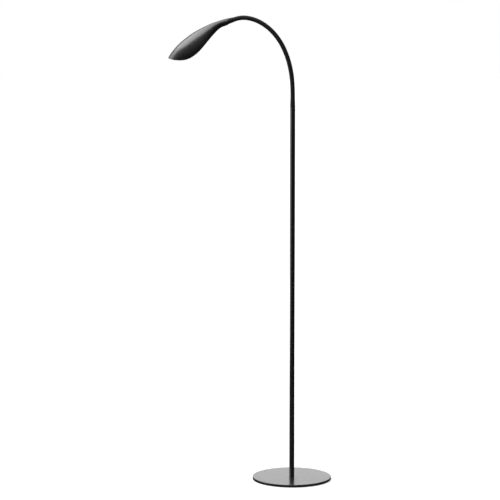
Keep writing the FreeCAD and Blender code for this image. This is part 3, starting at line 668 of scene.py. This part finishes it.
@dataclass
class FlexibleNeck:
    """The smooth silicone skin of the gooseneck and the boots at its ends."""

    section_length: float = 38.2 * MM
    turns: tuple[float, ...] = (3.2, 6.3, 7.3, 8.2, 10.5, 12.5, 14.5, 18.0, 26.5)
    radius: float = 7.0 * MM
    wall: float = 1.4 * MM
    ring_points: int = 48
    ring_steps: int = 14
    boot_bore: float = 6.25 * MM
    boot_step: float = 20.2 * MM
    lower_boot: tuple[float, float] = (8.0 * MM, 33.0 * MM)
    upper_boot: tuple[float, float] = (8.6 * MM, 24.5 * MM)
    boot_shoulder: tuple[float, float] = (0.08, 0.22)
    boot_throat: tuple[float, float] = (0.12, 0.78)
    boot_ease: float = 0.16
    boot_seat_round: float = 0.15 * MM
    boot_lip_round: float = 0.3 * MM

    def frames(self) -> list[Matrix]:
        """Frames at the ends of the sections: Z along the neck, -X to the inside of the bend."""
        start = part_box("neck_sleeve_1")[0].z
        frames = [Matrix.Translation((0.0, 0.0, start))]
        for turn in self.turns:
            angle = math.radians(turn)
            bend = self.section_length / angle
            step = Matrix.Translation((-bend * (1 - math.cos(angle)), 0.0, bend * math.sin(angle)))
            frames.append(frames[-1] @ step @ Matrix.Rotation(-angle, 4, "Y"))
        return frames

    def make_section(self, number: int, start: Matrix) -> bpy.types.Object:
        """Spin one ring about the centre of its bend, so that it meets its neighbours.

        Args:
            number: The section's number, from 1 at the pole.
            start: The frame at its lower end.

        Returns:
            The section, spun along its bend from its lower frame.
        """
        bpy.ops.object.select_all(action="DESELECT")
        bpy.ops.mesh.primitive_circle_add(vertices=self.ring_points, radius=self.radius, fill_type="NGON")
        piece = bpy.context.object
        piece.name = "neck_skin_%d" % number
        bpy.ops.object.mode_set(mode="EDIT")
        bpy.ops.mesh.select_all(action="SELECT")
        bpy.ops.mesh.inset(thickness=self.wall)
        bpy.ops.mesh.delete(type="FACE")
        bpy.ops.mesh.select_all(action="SELECT")
        angle = math.radians(self.turns[number - 1])
        centre = (-self.section_length / angle, 0.0, 0.0)
        bpy.ops.mesh.spin(steps=self.ring_steps, angle=angle, center=centre, axis=(0, 1, 0))
        close_shape()
        settle(piece, start)
        places = piece.data.attributes.new(Anchor.SKIN.value, "FLOAT_VECTOR", "POINT")
        for row, vertex in zip(places.data, piece.data.vertices):
            row.vector = vertex.co
        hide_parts("neck_sleeve_%d" % number)
        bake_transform(piece)
        return piece

    def make_boot(self, name: str, size: tuple[float, float], wardrobe: Wardrobe) -> bpy.types.Object:
        """One tapered boot, seated at the origin, that flows into the neck in a soft S.

        Args:
            name: The boot's name.
            size: Its radius at the seat and its length.
            wardrobe: The finishes.

        Returns:
            The boot, pointing up.
        """
        seat_radius, length = size
        inner = self.radius - self.wall
        flare = seat_radius - self.radius
        outline = [
            (self.boot_bore, 0.0), (seat_radius, 0.0),
            (seat_radius - self.boot_shoulder[0] * flare, self.boot_shoulder[1] * length),
            (self.radius + self.boot_throat[0] * flare, self.boot_throat[1] * length),
            (self.radius, length), (inner, length), (inner, self.boot_step), (self.boot_bore, self.boot_step),
        ]
        ease = self.boot_ease * length
        rounds = {1: self.boot_seat_round, 2: ease, 3: ease, 4: self.boot_lip_round}
        boot = turned(name, outline, rounds)
        wardrobe.dress_piece(boot, "boot_plastic")
        return boot

    def make_boots(self, start: Matrix, end: Matrix, wardrobe: Wardrobe) -> list[bpy.types.Object]:
        """The boots at the pole and at the hood.

        Args:
            start: The frame at the neck's lower end.
            end: The frame at its upper end.
            wardrobe: The finishes.

        Returns:
            The lower and the upper boot.
        """
        lower = self.make_boot("soft_boot_lower", self.lower_boot, wardrobe)
        seat = start.translation - Vector((0.0, 0.0, self.lower_boot[1]))
        settle(lower, Matrix.Translation(seat))
        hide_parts("neck_boot_lower")
        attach(lower, "stand")
        upper = self.make_boot("soft_boot_upper", self.upper_boot, wardrobe)
        lift = Matrix.Translation((0.0, 0.0, self.upper_boot[1]))
        settle(upper, end @ lift @ Matrix.Rotation(math.pi, 4, "X"))
        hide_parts("neck_boot_upper")
        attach(upper, "hood")
        return [lower, upper]

    def build(self, wardrobe: Wardrobe) -> None:
        """Make the neck's new pieces."""
        frames = self.frames()
        for boot in self.make_boots(frames[0], frames[-1], wardrobe):
            report(boot)
        for number in range(1, len(self.turns) + 1):
            section = self.make_section(number, frames[number - 1])
            wardrobe.dress_piece(section, "sleeve_silicone")
            report(section)


@dataclass
class Hood:
    """The leaf-shaped hood, whose tail flows into the boot."""

    tail: tuple[float, float, float] = HOOD_TAIL
    forward: tuple[float, float, float] = (-0.854459, 0.0, -0.519511)
    upward: tuple[float, float, float] = (-0.519511, 0.0, 0.854459)
    eases: tuple[tuple[float, float, float, float], ...] = (
        (8.0 * MM, -8.2 * MM, 1.3 * MM, 11.0 * MM), (27.0 * MM, -4.6 * MM, -1.0 * MM, 14.0 * MM),
    )
    reach: float = 2.2 * MM
    smooth_angle: float = 32.0
    screw_place: float = 196.0 * MM
    screw_spread: float = 10.0 * MM
    screw_low: float = -4.0 * MM
    recess: tuple[float, float, float] = (3.2 * MM, 0.8 * MM, 1.8 * MM)
    recess_edge: float = 0.12 * MM
    recess_turns: tuple[float, float] = (45.0, 135.0)
    weld: float = 5 * NEAR

    def ease(self, piece: bpy.types.Object, place: Vector, shift: Vector, size: float) -> None:
        """Move the skin about one place of the open piece, fading out over a size."""
        bpy.ops.mesh.select_all(action="DESELECT")
        mesh = bmesh.from_edit_mesh(piece.data)
        for vertex in mesh.verts:
            if (vertex.co - place).length < self.reach:
                vertex.select = True
        mesh.select_flush_mode()
        bmesh.update_edit_mesh(piece.data)
        bpy.ops.transform.translate(
            value=shift, use_proportional_edit=True, proportional_edit_falloff="SMOOTH",
            proportional_size=size, use_proportional_connected=True)

    def make_shell(self, wardrobe: Wardrobe) -> bpy.types.Object:
        """Weld a copy of the moulded shell and smooth the underside of its tail."""
        shell = welded_copy("hood_shell", "hood_skin")
        edit(shell)
        tail, forward, upward = Vector(self.tail), Vector(self.forward), Vector(self.upward)
        for along, height, lift, size in self.eases:
            self.ease(shell, tail + forward * along + upward * height, upward * lift, size)
        bpy.ops.object.mode_set(mode="OBJECT")
        bpy.ops.object.shade_smooth_by_angle(angle=math.radians(self.smooth_angle))
        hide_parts("hood_shell")
        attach(shell, "hood")
        wardrobe.dress_piece(shell, "hood_black")
        return shell

    def make_bar(self, side: float, angle: float) -> bpy.types.Object:
        """One bar of the cross that is cut into a screw's head.

        Args:
            side: How far the screw stands to the side.
            angle: The bar's turn about the screw, in degrees.

        Returns:
            The bar, at its place.
        """
        bpy.ops.object.select_all(action="DESELECT")
        bpy.ops.mesh.primitive_cube_add(size=1.0)
        bar = bpy.context.object
        bpy.ops.object.mode_set(mode="EDIT")
        bpy.ops.mesh.select_all(action="SELECT")
        bpy.ops.transform.resize(value=self.recess)
        bpy.ops.mesh.bevel(offset=self.recess_edge, segments=1)
        bpy.ops.object.mode_set(mode="OBJECT")
        forward, upward = Vector(self.forward), Vector(self.upward)
        centre = Vector(self.tail) + forward * self.screw_place + upward * self.screw_low
        turn = Matrix((forward, upward.cross(forward), upward)).transposed().to_4x4()
        settle(bar, Matrix.Translation(centre + Vector((0.0, side, 0.0))) @ turn
               @ Matrix.Rotation(math.radians(angle), 4, "Z"))
        return bar

    def make_screws(self, wardrobe: Wardrobe) -> bpy.types.Object:
        """Copy the two screws and cut a cross into each head."""
        screws = welded_copy("tray_screws", "cross_screws")
        for side in (-self.screw_spread, self.screw_spread):
            for angle in self.recess_turns:
                bar = self.make_bar(side, angle)
                finish_with(screws, "BOOLEAN", {"operation": "DIFFERENCE", "solver": "EXACT", "object": bar})
                bpy.data.objects.remove(bar)
        edit(screws)
        bpy.ops.mesh.select_all(action="SELECT")
        bpy.ops.mesh.remove_doubles(threshold=self.weld)
        bpy.ops.mesh.dissolve_degenerate(threshold=self.weld)
        bpy.ops.object.mode_set(mode="OBJECT")
        bpy.ops.object.shade_smooth_by_angle(angle=math.radians(self.smooth_angle))
        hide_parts("tray_screws")
        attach(screws, "hood")
        wardrobe.dress_piece(screws, "zinc_steel")
        return screws

    def build(self, wardrobe: Wardrobe) -> None:
        """Make the hood's new pieces."""
        report(self.make_shell(wardrobe))
        report(self.make_screws(wardrobe))


def report(piece: bpy.types.Object) -> None:
    """Log one finished piece with its face count."""
    log.info("%s: %d faces", piece.name, len(piece.data.polygons))


# ---- studio ------------------------------------------------------------------------------------

@dataclass(frozen=True)
class Softbox:
    """A rectangular lamp with a plain diffuser."""

    name: str
    place: tuple[float, float, float]
    aim: tuple[float, float, float]
    width: float
    height: float
    radiance: float

    def build(self) -> None:
        """Hang the lamp and turn it to its aim."""
        lamp = bpy.data.lights.new(self.name, "AREA")
        lamp.shape = "RECTANGLE"
        lamp.size = self.width
        lamp.size_y = self.height
        lamp.energy = self.radiance * math.pi * self.width * self.height
        holder = bpy.data.objects.new(self.name, lamp)
        bpy.context.scene.collection.objects.link(holder)
        holder.location = self.place
        direction = Vector(self.aim) - Vector(self.place)
        holder.rotation_euler = direction.to_track_quat("-Z", "Y").to_euler()
        holder.visible_camera = False


@dataclass
class Studio:
    """A pale floor, a white surround and soft lamps."""

    floor_size: float = 80.0
    floor_colour: Colour = (0.80, 0.80, 0.80)
    floor_glow: float = 0.45
    floor_far_glow: float = 1.0
    floor_near: float = 0.6
    floor_far: float = 2.2
    floor_in_gloss: Colour = (0.05, 0.05, 0.05)
    room_light: float = 0.22
    room_in_gloss: float = 0.10
    lamps: tuple[Softbox, ...] = (
        Softbox("left_softbox", (-1.9, -0.08, 1.4), (0.0, -0.08, 1.4), 1.15, 2.6, 1.9),
        Softbox("top_softbox", (-1.0, -0.15, 2.95), (-1.0, -0.15, 0.0), 3.1, 2.9, 2.95),
        Softbox("rear_panel", (0.0, 5.0, 1.16), (0.0, 0.0, 0.0), 3.2, 0.7, 1.6),
    )

    def make_floor(self) -> None:
        """A wide pale floor that shows white and keeps the lamp's shadow."""
        bpy.ops.object.select_all(action="DESELECT")
        bpy.ops.mesh.primitive_plane_add(size=self.floor_size, location=(0.0, 0.0, 0.0))
        floor = bpy.context.object
        floor.name = "studio_floor"
        made = bpy.data.materials.new("studio_floor")
        tree = ShaderTree(made)
        seen = self.seen_ray(tree)
        glossy = tree.add("ShaderNodeLightPath", output="Is Glossy Ray")
        colour = tree.blend(glossy, opaque(self.floor_colour), opaque(self.floor_in_gloss))
        matt = tree.add("ShaderNodeBsdfDiffuse", {}, {"Color": colour})
        place = tree.add("ShaderNodeTexCoord", output="Object")
        reach = tree.add("ShaderNodeVectorMath", {"operation": "LENGTH"}, {0: place}, "Value")
        far = ((reach - self.floor_near) * (1.0 / (self.floor_far - self.floor_near))).clamped()
        strength = self.floor_glow + far * (self.floor_far_glow - self.floor_glow)
        glow = tree.add("ShaderNodeEmission", {}, {"Strength": seen * strength})
        lit = tree.add("ShaderNodeAddShader", {}, {0: matt, 1: glow})
        clear = tree.add("ShaderNodeBsdfTransparent")
        below = tree.add("ShaderNodeNewGeometry", output="Backfacing")
        surface = tree.add("ShaderNodeMixShader", {}, {0: below, 1: lit, 2: clear})
        tree.finish("ShaderNodeOutputMaterial", surface)
        floor.data.materials.append(made)

    @staticmethod
    def seen_ray(tree: ShaderTree) -> Signal:
        """1 on rays that show the surround itself: straight from the camera or through a clear piece."""
        camera = tree.add("ShaderNodeLightPath", output="Is Camera Ray")
        through = tree.add("ShaderNodeLightPath", output="Is Transmission Ray")
        return camera.larger(through)

    def make_surround(self) -> None:
        """A white surround to the eye, and a dim room to the lamp's own gloss."""
        world = bpy.data.worlds.new("studio_surround")
        bpy.context.scene.world = world
        tree = ShaderTree(world)
        seen = self.seen_ray(tree)
        glossy = tree.add("ShaderNodeLightPath", output="Is Glossy Ray")
        room = glossy * (self.room_in_gloss - self.room_light) + self.room_light
        strength = seen + (1.0 - seen) * room
        background = tree.add("ShaderNodeBackground", {},
                              {"Color": (1.0, 1.0, 1.0, 1.0), "Strength": strength})
        tree.finish("ShaderNodeOutputWorld", background)

    def build(self) -> None:
        """Set the whole studio up."""
        self.make_floor()
        self.make_surround()
        for lamp in self.lamps:
            lamp.build()
        view = bpy.context.scene.view_settings
        view.view_transform = "Standard"


@dataclass(frozen=True)
class PhotoCamera:
    """The camera at the photograph's viewing angle."""

    place: tuple[float, float, float] = (-0.1335, -6.2656, 1.473)
    pitch: float = 83.293
    lens: float = 144.0
    sensor: float = 36.0

    def build(self) -> None:
        """Make the camera and the scene's own."""
        data = bpy.data.cameras.new("photo_camera")
        data.lens = self.lens
        data.sensor_width = self.sensor
        data.clip_end = 200.0
        camera = bpy.data.objects.new("photo_camera", data)
        camera.location = self.place
        camera.rotation_euler = (math.radians(self.pitch), 0.0, 0.0)
        bpy.context.scene.collection.objects.link(camera)
        bpy.context.scene.camera = camera


def main() -> None:
    """Build the camera, the studio and the lamp."""
    logging.basicConfig(level=logging.INFO, format="%(message)s")
    PhotoCamera().build()
    Studio().build()
    wardrobe = Wardrobe(frame["record"])
    for node in frame["nodes"]:
        wardrobe.dress_node(node)
    FloorStand().build(wardrobe)
    FlexibleNeck().build(wardrobe)
    Hood().build(wardrobe)


if __name__ == "__main__":
    main()
